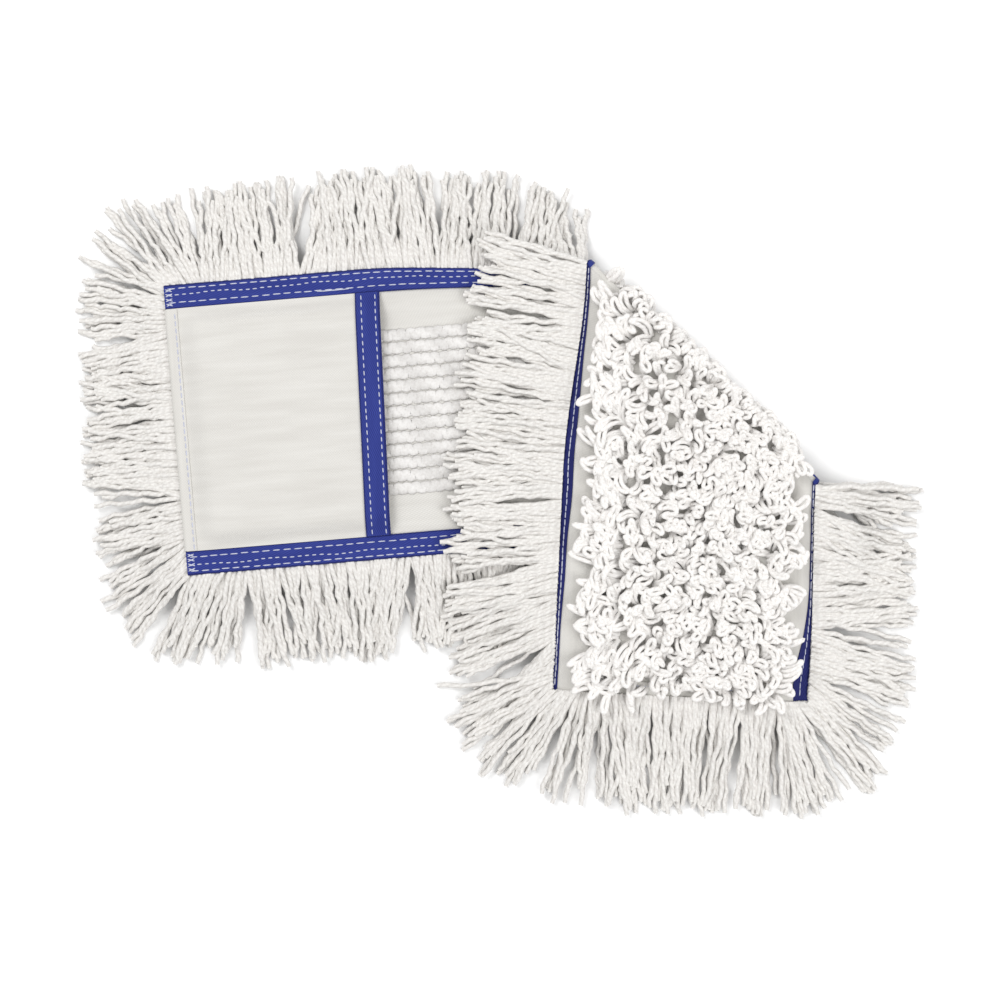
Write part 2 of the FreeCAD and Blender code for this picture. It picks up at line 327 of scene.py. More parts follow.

# %% Yarn, canvas, tape and thread
# the darker colour of the yarns and of the thread is painted shade in the grooves of their twist
yarn_look = material("cotton_yarn", twist, {"Turns": 13, "Plies": 2},
                     colours=((0.72, 0.70, 0.675), (0.80, 0.785, 0.76)),
                     shade=((0.88, 0.87, 0.86), white, (0.3, 0.6)), bump=(0.14, 0.0005, 0.9))
# The loops are the same yarn as the fringe, painted lighter: painted light against the shade deep
# among the loops.
loop_look = material("looped_yarn", twist, {"Turns": 9, "Plies": 2},
                     colours=((0.83, 0.81, 0.79), (0.895, 0.88, 0.865)),
                     shade=((0.92, 0.91, 0.90), white, (0.3, 0.6)), bump=(0.22, 0.0004, 0.9))
tuft_look = material("tuft_back_yarn", twist, {"Turns": 8, "Plies": 2},
                     colours=((0.68, 0.665, 0.65), (0.78, 0.765, 0.75)),
                     shade=((0.88, 0.87, 0.86), white, (0.3, 0.6)), bump=(0.5, 0.0006, 0.9))
# the canvas's darker colour is painted shade where its threads go under
canvas_look = material("cotton_canvas", weave, {"Threads per metre": 1500},
                       colours=((0.62, 0.605, 0.575), (0.70, 0.687, 0.655)),
                       shade=((0.92, 0.915, 0.91), white, (0.35, 0.65)),
                       bump=(0.35, 0.0002, 0.6))


def tape_material(name, dark, light):
    # the tape gets painted shade at its edges and round its turn over the cloth
    return material(name, weave, {"Threads per metre": 900, "Across": 2.2}, colours=(dark, light),
                    shade=((0.7, 0.72, 0.82), white, (0.3, 0.65)), bump=(0.5, 0.0003, 0.4),
                    roughness=0.6, sheen=0.1, edge_shade_colour=(0.45, 0.45, 0.55))


# the tape's darker colour is painted shade where its threads go under
tape_look = tape_material("binding_tape", (0.016, 0.025, 0.17), (0.04, 0.062, 0.31))
# The turned half's tape is the same tape painted darker: painted shade, because its edges face
# sideways.
shaded_tape_look = tape_material("binding_tape_turned_edge", (0.009, 0.011, 0.09),
                               (0.02, 0.028, 0.17))
thread_look = material("sewing_thread", twist, {"Turns": 5, "Plies": 2},
                       colours=((0.45, 0.47, 0.60), (0.70, 0.72, 0.82)),
                       shade=((0.9, 0.9, 0.92), white, (0.3, 0.6)), bump=(0.4, 0.0002, 0.2),
                       roughness=0.5, sheen=0.0)
print("materials", [look.name for look in bpy.data.materials])

# %% [markdown]
# ## Ways of making cloth, yarn and stitches
#
# Cloth starts as a flat grid that is laid where it lies and given its thickness. Yarn is drawn as
# many centre lines in one curve with a round section, because a strand is much the same all
# along. A stitch is a short strand with tapered ends, laid along the line of a seam.


# %% Finishing a piece
def finish_piece(obj, look, body, replaced=()):
    obj.data.materials.clear()
    obj.data.materials.append(look)
    if isinstance(body, str):
        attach(obj, body)
    else:
        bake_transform(obj)
    if replaced:
        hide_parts(*replaced)
    return obj


def new_object(name, mesh):
    obj = bpy.data.objects.new(name, mesh)
    bpy.context.scene.collection.objects.link(obj)
    return obj


def settled(obj):
    """The object with its modifiers made part of its mesh."""
    seen = obj.evaluated_get(bpy.context.evaluated_depsgraph_get())
    mesh = bpy.data.meshes.new_from_object(seen)
    obj.modifiers.clear()
    obj.data = mesh
    return obj


# %% Cloth
CLOTH_CREASE = 50                                     # degrees: edges sharper than this stay sharp


def cloth(name, where, across, along, thickness, size, crosswise=False):
    """A sheet: where(a, b) places each point of a unit square, size is its width and length."""
    mesh = bpy.data.meshes.new(name)
    work = bmesh.new()
    uv = work.loops.layers.uv.new("cloth")
    bmesh.ops.create_grid(work, x_segments=along, y_segments=across, size=0.5)
    for face in work.faces:
        for loop in face.loops:
            spot = ((loop.vert.co.x + 0.5) * size[1], (loop.vert.co.y + 0.5) * size[0])
            loop[uv].uv = spot[::-1] if crosswise else spot
    for vert in work.verts:
        vert.co = where(vert.co.x + 0.5, vert.co.y + 0.5)
    work.to_mesh(mesh)
    work.free()
    obj = new_object(name, mesh)
    thick = obj.modifiers.new("thickness", "SOLIDIFY")
    thick.thickness, thick.offset = thickness, 0
    settled(obj)
    shape = bmesh.new()
    shape.from_mesh(obj.data)
    bmesh.ops.recalc_face_normals(shape, faces=shape.faces)
    shape.to_mesh(obj.data)
    shape.free()
    obj.data.polygons.foreach_set("use_smooth", [True] * len(obj.data.polygons))
    obj.data.set_sharp_from_angle(angle=math.radians(CLOTH_CREASE))
    return obj


print("cloth is smooth up to", CLOTH_CREASE, "degrees")


# %% Strands and stitches
def strands(name, lines, sides=6, radius=yarn, profile=None):
    """Many strands in one mesh. Each line is a list of (point, relative thickness)."""
    curve = bpy.data.curves.new(name, "CURVE")
    curve.dimensions = "3D"
    curve.use_fill_caps = True
    if profile:
        curve.bevel_mode, curve.bevel_object = "OBJECT", profile
        curve.twist_mode = "Z_UP"
    else:
        curve.bevel_depth = radius
        curve.bevel_resolution = max(0, (sides - 4) // 2)
    for line in lines:
        spline = curve.splines.new("POLY")
        spline.points.add(len(line) - 1)
        for point, (co, thick) in zip(spline.points, line):
            point.co = (*co, 1)
            point.radius = thick
    source = new_object(name + "_lines", curve)
    seen = source.evaluated_get(bpy.context.evaluated_depsgraph_get())
    mesh = bpy.data.meshes.new_from_object(seen)
    bpy.data.objects.remove(source)
    mesh.name = name
    mesh.uv_layers[0].name = "strand"
    mesh.polygons.foreach_set("use_smooth", [True] * len(mesh.polygons))
    return new_object(name, mesh)


def oval(name, width, height):
    """A flat oval section for a run of yarn that is pulled tight against the canvas."""
    curve = bpy.data.curves.new(name, "CURVE")
    curve.dimensions = "2D"
    spline = curve.splines.new("POLY")
    spline.points.add(9)
    for i, point in enumerate(spline.points):
        turn = 2 * math.pi * i / 10
        point.co = (width / 2 * math.cos(turn), height / 2 * math.sin(turn), 0, 1)
    spline.use_cyclic_u = True
    return new_object(name, curve)


def stitches(name, runs, radius=0.3 * MM):
    """Rows of thread: each run is a list of (middle, direction, length) of its stitches."""
    lines = []
    for centre, way, size in runs:
        way = way.normalized()
        lines.append([(centre - way * size * 0.5, 0.45), (centre - way * size * 0.3, 1),
                      (centre + way * size * 0.3, 1), (centre + way * size * 0.5, 0.45)])
    return strands(name, lines, 6, radius)


def stitch(a, b, share=1.0):
    """A stitch from a to b, or a little longer or shorter than the gap."""
    return (a + b) / 2, b - a, (b - a).length * share


print("yarn is", round(2 * yarn / MM, 1), "mm thick")

# %% [markdown]
# ## The canvas
#
# One piece of cotton canvas, tufted with yarn and hemmed at its ends. It is two flat pieces
# here, one for each half, and a narrow bend between them.


# %% The canvas and its bend
inner_half = half_width - 0.8 * MM                    # the canvas stops inside its binding
canvas_mid = (face_z + back_z) / 2
canvas_thick = back_z - face_z


def ring_point(v, z, turn):
    """A point of the cloth carried round the fold, from the flat half at 0 to the other at pi."""
    s, v_in = draw_in(fold_at(v), v, False)
    reach = pivot.z - z
    base = Vector((flat_end + s, middle + v_in, pivot.z))
    return base + reach * (math.sin(turn) * out_of_fold - Vector((0, 0, math.cos(turn))))


def canvas_spot(turned):
    def where(a, b):
        v = -inner_half + 2 * inner_half * b
        edge = fold_at(v)
        s = edge + a * (length - edge) if turned else a * edge
        return lay(s, v, canvas_mid, turned)
    return where


def canvas_ring(a, b):
    return ring_point(-inner_half + 2 * inner_half * b, canvas_mid, math.pi * a)


BEND_HALF = 2.25 * MM                                 # the bend's reach above and below the fold
BEND_RUN = 7 * MM                                     # cloth that goes round the bend
LOW, HIGH = (0, 0, pivot.z - BEND_HALF), (0, 0, pivot.z + BEND_HALF)
ACROSS = ("flat_half", "turned_half", LOW, HIGH)
canvas_flat = finish_piece(cloth("canvas_flat_cloth", canvas_spot(False), 60, 110, canvas_thick,
                           (2 * inner_half, fold_start)), canvas_look, "flat_half",
                           ("canvas_flat",))
canvas_turned = finish_piece(cloth("canvas_turned_cloth", canvas_spot(True), 60, 80,
                             canvas_thick, (2 * inner_half, length - fold_start)), canvas_look,
                             "turned_half", ("canvas_turned",))
canvas_bend = finish_piece(cloth("canvas_bend_cloth", canvas_ring, 60, 12, canvas_thick,
                           (2 * inner_half, BEND_RUN)), canvas_look, ACROSS,
                           ("canvas_fold",))
print("canvas", [tuple(round(x, 3) for x in piece.dimensions)
                 for piece in (canvas_flat, canvas_turned, canvas_bend)])

# %% [markdown]
# ## Binding tape and its seams
#
# A woven tape is folded over each long edge and sewn through. On the back it shows its full
# width with rows of stitches. On the loop side only a narrow leg shows, with one chain of
# stitches, and the thread pulls little puckers into it.


# %% Shape of the tape
WRAP = 0.9 * MM                                       # radius of the turn round the edge
TAPE_THICK = 0.7 * MM
EDGE_GAP = 0.35 * MM                                  # keeps the tape's face inside the edge
TAPE_LIFT = 0.45 * MM                                 # from the canvas to the tape's middle
THREAD_LIFT = 0.85 * MM                               # from the canvas to the thread's middle
FACE_LEG = 6 * MM
PUCKER = 0.22 * MM


def tape_profile(run, face_leg):
    """(inset from the edge, z) along the tape's width, from its back edge round to the face."""
    back_leg = tape_width - WRAP
    arc = math.pi * WRAP
    if run < back_leg:
        return tape_width - run, back_z + TAPE_LIFT
    if run < back_leg + arc:
        turn = (run - back_leg) / WRAP
        return WRAP * (1 - math.sin(turn)), canvas_mid + WRAP * math.cos(turn)
    return WRAP + (run - back_leg - arc) * face_leg, face_z - TAPE_LIFT


def face_leg_at(s, side, turned):
    """The narrow leg is turned under unevenly, and opens out towards the free corner."""
    wander = 1 + 0.25 * noise.noise(Vector((s * 30, side * 7, 2)))
    if turned and side < 0:
        return wander * (0.22 + 1.4 * smooth(s, 0.372, 0.42))
    return wander * (0.3 + 0.42 * math.sin(math.pi * smooth(s, 0.2, 0.42)))


def tape_spot(side, turned):
    total = tape_width - WRAP + math.pi * WRAP + FACE_LEG

    def where(a, b):
        corner = fold_at(side * half_width)
        at_edge = corner + a * (length - corner) if turned else a * corner
        inset, z = tape_profile(b * total, face_leg_at(at_edge, side, turned))
        v = side * (half_width - EDGE_GAP - inset)
        edge = fold_at(v)
        s = edge + a * (length + 0.3 * MM - edge) if turned else -0.3 * MM + a * (edge + 0.3 * MM)
        pucker = PUCKER * noise.noise(Vector((s * 210, inset * 150, side)))
        return lay(s, v, z + (pucker if z > canvas_mid else -pucker), turned)
    return where


def tape_ring(side):
    total = tape_width - WRAP + math.pi * WRAP + FACE_LEG

    def where(a, b):
        leg = face_leg_at(fold_at(side * half_width), side, a > 0.5)
        inset, z = tape_profile(b * total, leg)
        return ring_point(side * (half_width - EDGE_GAP - inset), z, math.pi * a)
    return where


print("tape", tape_width, "narrow leg", FACE_LEG)

# %% Seams of the tape
# each row of stitches: inset from the edge, stitch, pitch and wander in millimetres, and seed
BACK_ROWS = ((2.2, 3.8, 5.2, 0.2, 1), (5.2, 2.1, 3.6, 1.2, 2), (9.2, 3.8, 5.2, 0.2, 3))
FACE_ROW = (1.9, 3.2, 3.5, 0.3, 4)


def seam(side, turned, z, row):
    """Stitches along a tape, between its end and the fold."""
    inset, dash, pitch, wander = (value * MM for value in row[:4])
    seed = row[4]
    dice = random.Random(seed)
    edge = fold_at(side * (half_width - inset))
    s, stop = (edge + 1 * MM, length - 1.5 * MM) if turned else (1.5 * MM, edge - 1 * MM)
    made = []
    while s < stop - dash:
        drift = wander * noise.noise(Vector((s * 60, seed, 0))) + dice.uniform(-.1, .1) * MM
        if z < canvas_mid:
            drift -= (face_leg_at(s, side, turned) - 0.3) * 3 * MM
        v = side * (half_width - inset + drift)
        a, b = lay(s, v, z, turned), lay(s + dash, v, z, turned)
        made.append(stitch(a, b, dice.uniform(0.9, 1.05)))
        s += pitch * dice.uniform(0.94, 1.06)
    return made


def bar_tack(side, turned, z, seed):
    """Thread crossed back and forth where a tape ends."""
    dice = random.Random(seed)
    end = length - 2 * MM if turned else 2 * MM
    made = []
    for i in range(4):
        inset = (2.4 + 2.4 * i) * MM
        for turn in (1, -1):
            a = lay(end + turn * 1.6 * MM, side * (half_width - inset), z, turned)
            b = lay(end - turn * 1.6 * MM, side * (half_width - inset - 1.2 * MM), z, turned)
            made.append(stitch(a, b, dice.uniform(0.9, 1.1)))
    return made


print("rows on the back", len(BACK_ROWS))

# %% Tapes sewn on
bindings, stitch_count = [], 0
for turned, half, body in HALVES:
    for side, edge in EDGES:
        run = length - fold_at(side * half_width) if turned else fold_at(side * half_width)
        # the turned half's tapes take the darker copy of the tape, with painted shade
        tape = finish_piece(cloth(f"binding_{edge}_{half}_tape", tape_spot(side, turned), 22,
                            int(run / (2 * MM)), TAPE_THICK, (20 * MM, run)),
                            shaded_tape_look if turned else tape_look,
                            body, (f"binding_{edge}_{half}",))
        top, under = back_z + THREAD_LIFT, face_z - THREAD_LIFT
        rows = [sewn for row in BACK_ROWS for sewn in seam(side, turned, top, row)]
        rows += seam(side, turned, under, FACE_ROW) + bar_tack(side, turned, top, 5)
        if side > 0 and not turned:
            a, b = (lay(x * MM, half_width - 9.6 * MM, top + 0.2 * MM) for x in (76, 92))
            rows.append(stitch(a, b))                 # a long stitch, where the needle missed
        stitch_count += len(rows)
        thread = finish_piece(stitches(f"binding_{edge}_{half}_thread", rows), thread_look,
                              body, (f"binding_stitches_{edge}_{half}",))
        bindings += [tape, thread]
for side, edge in EDGES:
    bindings.append(finish_piece(cloth(f"binding_{edge}_bend_tape", tape_ring(side), 22, 12,
                    TAPE_THICK, (20 * MM, BEND_RUN)), tape_look, ACROSS))
print("binding pieces", len(bindings), "stitches", stitch_count)

# %% [markdown]
# ## End hems
#
# Each end of the canvas is turned over in a narrow hem and sewn with white thread.


# %% End hems
HEM_WIDTH, HEM_RUN, HEM_LENGTH = 6 * MM, 14 * MM, 120 * MM
HEM_TURN = 1 * MM                                     # radius of the turn round the end


def hem_spot(turned):
    def where(a, b):
        run = b * HEM_RUN
        top, under = back_z + (0.5 if turned else 1.4) * MM, face_z - 0.5 * MM
        turn = min(max((run - (HEM_WIDTH - HEM_TURN)) / HEM_TURN, 0), math.pi)
        if run < HEM_WIDTH - HEM_TURN:
            inset, z = HEM_WIDTH - run, top
        elif turn < math.pi:
            inset = HEM_TURN * (1 - math.sin(turn))
            z = (top + under) / 2 + (top - under) / 2 * math.cos(turn)
        else:
            inset, z = run - (HEM_WIDTH - HEM_TURN) - math.pi * HEM_TURN + HEM_TURN, under
        v = (2 * a - 1) * (half_width - 12.4 * MM)
        s = length + 0.6 * MM - inset if turned else inset - 0.6 * MM
        return lay(s, v, z, turned)
    return where


def hem_stitches(turned, z, seed):
    dice = random.Random(seed)
    made, v = [], -half_width + 13 * MM
    s = length - 4.2 * MM if turned else 4.2 * MM
    while v < half_width - 16 * MM:
        a, b = lay(s, v, z, turned), lay(s, v + 2.6 * MM, z, turned)
        made.append(stitch(a, b))
        v += 3.6 * MM * dice.uniform(0.95, 1.05)
    return made


hems = []
for turned, half, body in HALVES:
    hems.append(finish_piece(cloth(f"end_hem_{half}_cloth", hem_spot(turned), 16, 60, 0.8 * MM,
                (HEM_RUN, HEM_LENGTH)), canvas_look, body, (f"end_hem_{half}",)))
    over = back_z + (0.95 if turned else 1.85) * MM
    rows = hem_stitches(turned, over, 6) + hem_stitches(turned, face_z - 0.95 * MM, 7)
    hems.append(finish_piece(stitches(f"end_hem_{half}_thread", rows), thread_look,
                             body))
print("hems", [piece.name for piece in hems])

# %% [markdown]
# ## Pockets
#
# A panel of canvas is sewn down along three sides, and its fourth is bound with the same blue
# tape and stays open for the end of the mop frame. On the flat half it stands a little open. The
# other pocket is pressed shut.


# %% Shape of the open pocket
side_seam = half_width - 12.2 * MM                    # where the panel is sewn down
PANEL_THICK = 0.8 * MM
pocket_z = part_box("pocket_panel_flat")[0].z + 0.4 * MM


def mouth_tilt(v):
    """The mouth is sewn a little out of square with the cloth."""
    return 2.2 * MM * (v / side_seam) - 0.5 * MM


def panel_height(s, v):
    """The open pocket's panel rises from its three seams to its full height."""
    rise = smooth(side_seam - abs(v), 0, 11 * MM) * smooth(s, 4.5 * MM, 17 * MM)
    wrinkle = 0.5 * MM * noise.noise(Vector((s * 35, v * 35, 9)))
    return back_z + 0.6 * MM + (pocket_z - back_z - 0.6 * MM) * rise + wrinkle * rise


def flat_pocket(name, side, lift, s0, s1, thick, look, node, along, crosswise=False):
    def where(a, b):
        v = side * side_seam * b
        s = s0 + a * (s1 - s0)
        s += mouth_tilt(v) * smooth(s, 0, pocket_depth - 14 * MM)
        return lay(s, v, panel_height(s, v) + lift)
    piece = cloth(name, where, 40, along, thick, (side_seam, s1 - s0), crosswise)
    return finish_piece(piece, look, flap_blend(side), node)


def flap_blend(side):
    return ("flat_half", "pocket_flap", (0, middle + side * (side_seam - 1 * MM), 0),
            (0, middle + side * 8 * MM, 0))


def mouth_seams(side, turned, height):
    """Two rows of small stitches along the mouth's tape."""
    dice = random.Random(11 + side)
    made = []
    near = length - pocket_depth if turned else pocket_depth
    away = 1 if turned else -1
    for inset in (1.9 * MM, 8.9 * MM):
        v = side * 0.5 * MM
        while abs(v) < side_seam - 2.5 * MM:
            s = near + away * inset + (0 if turned else mouth_tilt(v))
            a = lay(s, v, height(s, v), turned)
            b = lay(s, v + side * 2.3 * MM, height(s, v + side * 2.3 * MM), turned)
            made.append(stitch(a, b))
            v += side * 3.8 * MM * dice.uniform(0.95, 1.05)
    return made


print("panel height", pocket_z, "side seams at", side_seam)

# %% The open pocket
for side, word in EDGES:
    seams = ("pocket_panel_flat", f"pocket_seam_{word}", "pocket_seam_end")
    flat_pocket(f"pocket_{word}_cloth", side, 0, 0.2 * MM, pocket_depth, PANEL_THICK,
                              canvas_look, seams, 50)
    flat_pocket(f"mouth_{word}_tape", side, 0.8 * MM, pocket_depth - 12 * MM,
                              pocket_depth + 0.4 * MM, TAPE_THICK, tape_look,
                              ("mouth_tape_flat",), 10, True)
    rows = mouth_seams(side, False, lambda s, v: panel_height(s, v) + 1.2 * MM)
    thread = stitches(f"mouth_{word}_thread", rows)
    finish_piece(thread, thread_look, flap_blend(side),
                               ("mouth_stitches_flat",))


# %% The pocket that is pressed shut
def shut_spot(z, s0, s1):
    def where(a, b):
        return lay(s0 + a * (s1 - s0), (2 * b - 1) * side_seam, z, True)
    return where


mouth = length - pocket_depth
pocket_shut = finish_piece(cloth("pocket_shut_cloth", shut_spot(back_z + 0.7 * MM, mouth,
                           length - 1 * MM), 40, 40, PANEL_THICK, (2 * side_seam, pocket_depth)),
                           canvas_look, "turned_half", ("pocket_panel_turned",))
finish_piece(cloth("mouth_shut_tape", shut_spot(back_z + 1.5 * MM, mouth - 0.4 * MM,
             mouth + 12 * MM), 40, 8, TAPE_THICK, (2 * side_seam, 12 * MM), True),
             tape_look, "turned_half", ("mouth_tape_turned",))
rows = [sewn for side in (1, -1)
        for sewn in mouth_seams(side, True, lambda s, v: back_z + 1.85 * MM)]
finish_piece(stitches("mouth_shut_thread", rows), thread_look, "turned_half",
             ("mouth_stitches_turned",))
print("pocket depth", pocket_depth)

# %% [markdown]
# ## Looped pile
#
# The pile is tufted: a needle carries the yarn through the canvas again and again in straight
# rows, and leaves a loop on the face and a short wavy run on the back. The loops flop over in
# every direction, and the outer rows lean outwards. Under the flat half they hold the cloth off
# the table.


# %% One loop
def loop_line(dice, root, way, reach, height, width, steps, up):
    """One loop: out along a curl, over at its tip and back beside its start. up is 1 or -1."""
    side = Vector((-way.y, way.x, 0))
    curl = dice.choice((-1, 1)) * dice.uniform(0.5, 2.6)
    wave = dice.uniform(0, 6)
    line = []
    for i in range(steps + 1):
        part = i / steps
        out = math.sin(math.pi * part) ** 0.85
        heading = curl * out
        middle_line = (way * math.sin(heading) + side * (1 - math.cos(heading))) * reach / curl
        normal = side * math.cos(heading) - way * math.sin(heading)
        spread = -math.cos(math.pi * part) * width * (0.35 + 0.65 * out)
        twirl = 0.45 * MM * math.sin(9 * part + wave)
        co = (root + middle_line + normal * (spread + twirl)
              + Vector((0, 0, up * height * out ** 0.7)))
        line.append((co, 1))
    return line


sample = loop_line(random.Random(1), Vector(), Vector((1, 0, 0)), 8 * MM, 6 * MM, 2 * MM, 16, 1)
print("a loop has", len(sample), "points along its centre line")

# %% A row of loops and its back
loop_yarn = 1.15 * MM                                 # radius of the yarn in the loops
LOOP_REACH, LOOP_WIDTH = (6, 11), (1.4, 2.6)          # millimetres, least and most
TURNED_HEIGHT, FLAT_HEIGHT = (5.0, 8.6), (7.5, 9.4)
SPREAD = 1.28                                         # the turned half's upper rows lie further out


def pile_row(row, turned, pitch, steps, seed):
    dice = random.Random(seed * 100 + row)
    v0 = (row - (row_count - 1) / 2) * row_pitch
    if turned and v0 > 0:
        v0 *= SPREAD
    edge = fold_at(v0)
    s, stop = (edge + 1 * MM, length - 1.5 * MM) if turned else (9 * MM, edge - 2 * MM)
    lines = []
    while s < stop:
        v = v0 + dice.uniform(-1.6, 1.6) * MM
        root = lay(s, v, face_z - 0.3 * MM, turned)
        angle = dice.uniform(0, 2 * math.pi)
        way = Vector((math.cos(angle), math.sin(angle), 0))
        outer = min(v0 / (row_count * row_pitch / 2), 1)
        sideways = lay(s, v + 1 * MM, face_z, turned) - lay(s, v, face_z, turned)
        way = way + sideways.normalized() * outer ** 3 * 1.7
        way.z = 0
        way.normalize()
        far = 0.7 if turned else 0.2
        reach = dice.uniform(*LOOP_REACH) * MM * (1 + far * outer ** 4)
        tall = dice.uniform(*(TURNED_HEIGHT if turned else FLAT_HEIGHT)) * MM
        lines.append(loop_line(dice, root, way, reach, tall, dice.uniform(*LOOP_WIDTH) * MM,
                               steps, 1 if turned else -1))
        s += pitch * dice.uniform(0.75, 1.25)
    return lines


def tuft_back(row, turned, seed):
    """The wavy run of yarn that a row leaves on the back of the canvas."""
    dice = random.Random(seed * 100 + row)
    v0 = (row - (row_count - 1) / 2) * row_pitch
    edge = fold_at(v0)
    at, stop = ((edge + 4 * MM, length - pocket_depth - 3 * MM) if turned
                else (pocket_depth - 8 * MM, edge - 4 * MM))
    line, beat = [], dice.uniform(0, 6)
    while at < stop:
        beat += dice.uniform(0.75, 1.0)
        v = v0 + (0.42 * math.sin(beat) + dice.uniform(-.06, .06)) * MM
        line.append((lay(at, v, back_z + 0.3 * MM, turned), 1 + 0.05 * math.cos(beat * 1.7)))
        at += 0.65 * MM
    return [line]


print("rows", row_count, "apart", row_pitch)

# %% The rows
tuft_section = oval("tuft_section", 5.6 * MM, 2.2 * MM)
piles = []
for turned, half, body in HALVES:
    for row in range(row_count):
        node = f"loop_row_{row + 1:02d}_{half}"
        loops = pile_row(row, turned, 2.0 * MM if turned else 5.2 * MM, 16 if turned else 9,
                         3 if turned else 4)
        piles.append(finish_piece(strands(node + "_loops", loops, 8 if turned else 6,
                                  loop_yarn), loop_look, body, (node,)))
        backs = strands(node + "_back", tuft_back(row, turned, 5), profile=tuft_section)
        piles.append(finish_piece(backs, tuft_look, body))
bpy.data.objects.remove(tuft_section)
print("pile pieces", len(piles), "triangles", sum(2 * len(p.data.polygons) for p in piles))


# %% Loops round the fold
def fold_loops(upper, seed):
    dice = random.Random(seed)
    lines = []
    for row in range(row_count):
        v0 = (row - (row_count - 1) / 2) * row_pitch
        for i in range(11):
            turn = math.radians(dice.uniform(92, 165) if upper else dice.uniform(15, 88))
            v = v0 + dice.uniform(-3.2, 24 if row == row_count - 1 else 3.2) * MM
            root = ring_point(v, face_z - 0.2 * MM, turn)
            out = ring_point(v, face_z - 8 * MM, turn) - root
            way = Vector((out.x, out.y, 0)).normalized()
            way = (way + along_fold * dice.uniform(-0.9, 0.9)).normalized()
            rise = out.z / max(out.length, 1e-6)
            lines.append(loop_line(dice, root, way, dice.uniform(4, 8.5) * MM
                                   * (0.45 + 0.55 * abs(math.sin(turn))), 8 * MM * abs(rise),
                                   dice.uniform(2.4, 3.8) * MM, 13, 1 if rise > 0 else -1))
    return lines


for upper, word in ((True, "upper"), (False, "lower")):
    piles.append(finish_piece(strands(f"fold_loops_{word}", fold_loops(upper, 21 + upper), 8,
                              loop_yarn), loop_look, ACROSS, ("fold_pile",)))
print("fold loops", [len(p.data.polygons) for p in piles[-2:]])

# %% [markdown]
# ## Fringe
#
# Cut lengths of the same yarn are sewn under the edges, a little more than one for each
# millimetre. They lie in loose locks whose tips come together, fan out at the corners and rest
# on the table, or on the half below.


# %% Where strands rest
def ground(x, y):
    """What a strand of the turned half comes to rest on: the half below, or the table."""
    v = y - middle
    below = 13.9 * MM * smooth(v, -half_width - 50 * MM, -half_width + 2 * MM)
    edge = fold_at(max(min(v, half_width), -half_width)) + flat_end
    return below * (1 - smooth(x, edge - 2 * MM, edge + 12 * MM))


print("height below the turned half's middle", round(ground(pivot.x - 80 * MM, middle), 4))

# %% Locks of strands
STRANDS_IN_LOCK = 11


def fringe(name, node, body, turned, spot, count, reach, seed, over=False, short=0):
    """spot(t) gives a root's s, v and the way its strand points, as an angle in the cloth.

    over lets the strands rest on the half below, and short shortens the last ones."""
    dice = random.Random(seed)
    lines, lock_end = [], 0
    for i in range(count):
        t = (i + dice.random()) / count
        if t >= lock_end:
            lock_end = t + dice.uniform(0.6, 1.6) * STRANDS_IN_LOCK / count
            lock_middle = 0.5 * (t + lock_end)
            lock_lean, lock_length = dice.gauss(0, 0.12), dice.uniform(-1, 1)
            lock_pull = dice.uniform(0.45, 1.0)
        s, v, angle = spot(min(t, 1))
        middle_s, middle_v, _ = spot(min(lock_middle, 1))
        layer = dice.random()
        root = lay(s, v, face_z + (0.1 - 2.4 * layer) * MM if not turned
                   else face_z + (0.5 - 2.4 * layer) * MM, turned)
        centre = lay(middle_s, middle_v, face_z, turned)
        way = Vector((math.cos(angle), math.sin(angle), 0))
        if turned:
            way = 2 * way.dot(along_fold) * along_fold - way
        side = Vector((-way.y, way.x, 0))
        pull = (centre - root).dot(side) * lock_pull
        lean = lock_lean + dice.gauss(0, 0.09)
        long = reach * dice.uniform(0.82, 1.06) * (1 + 0.05 * lock_length)
        long *= 1 - short * smooth(t, 0.8, 1)
        curl, beat, phase = dice.gauss(0, 2.6) * MM, dice.uniform(14, 27), dice.uniform(0, 6)
        lift = dice.random() ** 1.5
        drop = dice.uniform(0.55, 1.0)
        line, steps = [], 16
        for j in range(steps + 1):
            part = j / steps
            across = (lean * long * part + pull * part ** 1.2 + curl * part * part
                      + 0.5 * MM * math.sin(part * beat + phase) * min(1, 4 * part)
                      + 0.3 * MM * math.sin(part * beat * 1.9 + phase) * min(1, 4 * part))
            co = root + way * long * part * math.cos(lean) + side * across
            rest = (ground(co.x, co.y) if over else 0) + yarn + lift * 6 * MM * (1 - 0.5 * part)
            fall = smooth(part, 0.0, drop)
            co.z = root.z + (rest - root.z) * fall
            co.z += 0.5 * MM * math.sin(part * beat * 0.8 + phase * 2) * min(1, 4 * part)
            co.z = max(co.z, yarn * 0.95 + (ground(co.x, co.y) * fall if over else 0))
            thick = 0.9 if j == steps else 1.04
            line.append((co, thick * (0.94 + 0.12 * dice.random())))
        lines.append(line)
    made = strands(name, lines, 6)
    return finish_piece(made, yarn_look, body, (node,))


print("strands in a lock, about", STRANDS_IN_LOCK)


# %% How each edge points its strands
def fan(t, first, last, share=0.2):
    """Extra turn of the strands near the two ends of an edge, in radians."""
    return math.radians(first) * (1 - smooth(t, 0, share)) + math.radians(last) * smooth(
        t, 1 - share, 1)


RIM = half_width - 0.6 * MM                           # line that the strands are sewn along


def along_long_edge(side, s0, s1, first, last, share=0.2):
    def spot(t):
        s = s0 + t * (s1 - s0)
        return s, side * RIM, side * math.pi / 2 - side * fan(t, first, last, share)
    return spot


def along_end(turned, first, last):
    def spot(t):
        v = -RIM + t * 2 * RIM
        s = length + 0.2 * MM if turned else -0.2 * MM
        angle = (0 if turned else math.pi) + (1 if turned else -1) * fan(t, first, last, 0.22)
        return s, v, angle
    return spot


print("roots at", RIM)

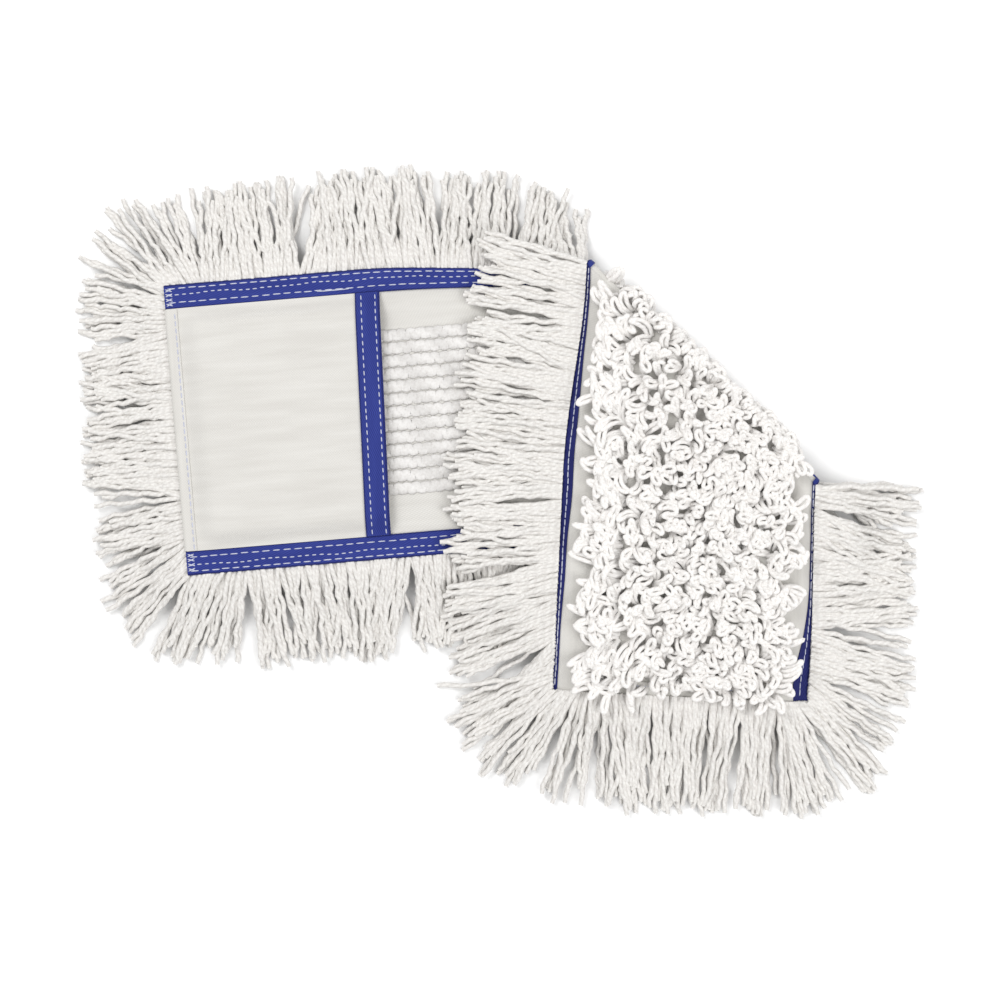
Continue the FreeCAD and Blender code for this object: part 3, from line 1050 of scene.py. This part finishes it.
# %% The fringe on every edge
low_edge = fold_at(-half_width)
fringes = [
    fringe("fringe_end_flat_yarn", "fringe_end_flat", "flat_half", False,
           along_end(False, -45, 18), count=200, reach=46 * MM, seed=31),
    fringe("fringe_upper_flat_yarn", "fringe_upper_flat", "flat_half", False,
           along_long_edge(1, 0, fold_start + 1 * MM, -42, -8, 0.16), count=245, reach=49 * MM,
           seed=32, short=0.45),
    fringe("fringe_lower_flat_yarn", "fringe_lower_flat", "flat_half", False,
           along_long_edge(-1, 0, low_edge, -32, 0, 0.12), count=350, reach=47 * MM, seed=33),
    fringe("fringe_end_turned_yarn", "fringe_end_turned", "turned_half", True,
           along_end(True, -38, 38), count=210, reach=56 * MM, seed=34),
    fringe("fringe_upper_turned_yarn", "fringe_upper_turned", "turned_half", True,
           along_long_edge(1, fold_start, length, -9, 34, 0.5), count=330, reach=55 * MM,
           seed=35, over=True),
    fringe("fringe_lower_turned_yarn", "fringe_lower_turned", "turned_half", True,
           along_long_edge(-1, low_edge, length, 16, 38, 0.4), count=165, reach=52 * MM,
           seed=36, over=True),
]


print("strand pieces", len(fringes))


# %% The corner of the fold
def corner_spot(t):
    """The few strands at the outer corner of the fold."""
    angle = math.atan2(along_fold.y, along_fold.x) + math.radians(-8 + 55 * t)
    return low_edge - 2 * MM + 3 * MM * t, -RIM, angle


fringes.append(fringe("fringe_fold_corner_yarn", "fringe_fold_corner", "flat_half", False,
                      corner_spot, count=46, reach=42 * MM, seed=37))
print("fringe triangles", sum(2 * len(p.data.polygons) for p in fringes))

# %% [markdown]
# ## What the cloth is
#
# Both halves are one canvas, about 144 by 425 mm, or 146 mm wide over its tapes. It is cut at
# the fold here. The bindings, hems and fringe are sewn to it and go with it. The pocket panels
# are sheets of their own, and the open one is a little wider than its seams, so that it bulges.

# %% The pieces of each half
([p for p in bindings + hems + fringes if "turned" not in p.name]
         + [canvas_bend])
[p for p in bindings + hems + fringes if "turned" in p.name]

# %% [markdown]
# ## Table and light
#
# A plain pale table, lit softly by two large lamps high on opposite sides.

# %% Table
floor_mesh = bpy.data.meshes.new("table_top")
work = bmesh.new()
bmesh.ops.create_grid(work, x_segments=1, y_segments=1, size=3)
work.to_mesh(floor_mesh)
work.free()
floor = new_object("table_top", floor_mesh)
floor_look = bpy.data.materials.new("pale_table")
floor_look.use_nodes = True
floor_shader = floor_look.node_tree.nodes["Principled BSDF"]
floor_shader.inputs["Base Color"].default_value = (0.95, 0.95, 0.95, 1)
floor_shader.inputs["Roughness"].default_value = 0.9
floor_mesh.materials.append(floor_look)
print("table", floor.name)

# %% Light
world = bpy.data.worlds.new("studio")
bpy.context.scene.world = world
world.use_nodes = True
world.node_tree.nodes["Background"].inputs["Color"].default_value = (1, 1, 1, 1)
world.node_tree.nodes["Background"].inputs["Strength"].default_value = 0.60


def area_light(name, spot, aim, size, power):
    lamp = bpy.data.lights.new(name, "AREA")
    lamp.size, lamp.energy = size, power
    obj = bpy.data.objects.new(name, lamp)
    bpy.context.scene.collection.objects.link(obj)
    obj.location = spot
    obj.rotation_euler = (Vector(aim) - Vector(spot)).to_track_quat("-Z", "Y").to_euler()


area_light("key", (-0.7, 0.8, 1.3), (0, 0, 0), 0.8, 13.5)
area_light("fill", (0.9, -0.6, 1.2), (0, 0, 0), 1.2, 13)
print("lamps", [lamp.name for lamp in bpy.data.lights])

# %% [markdown]
# ## Camera
#
# The camera looks straight down from 1.5 metres through a long lens, so the cloth shows with
# little perspective. It is turned a little, because the cloth lies a little askew.

# %% Camera
lens = bpy.data.cameras.new("camera")
camera = bpy.data.objects.new("camera", lens)
bpy.context.scene.collection.objects.link(camera)
bpy.context.scene.camera = camera
lens.lens, lens.sensor_width = 107, 36
camera.location = (-0.0066, 0.0025, 1.5)
camera.rotation_euler = (0, 0, math.radians(-4.8))
bpy.context.scene.view_settings.view_transform = "Standard"
print("camera height", camera.location.z, "lens", lens.lens)
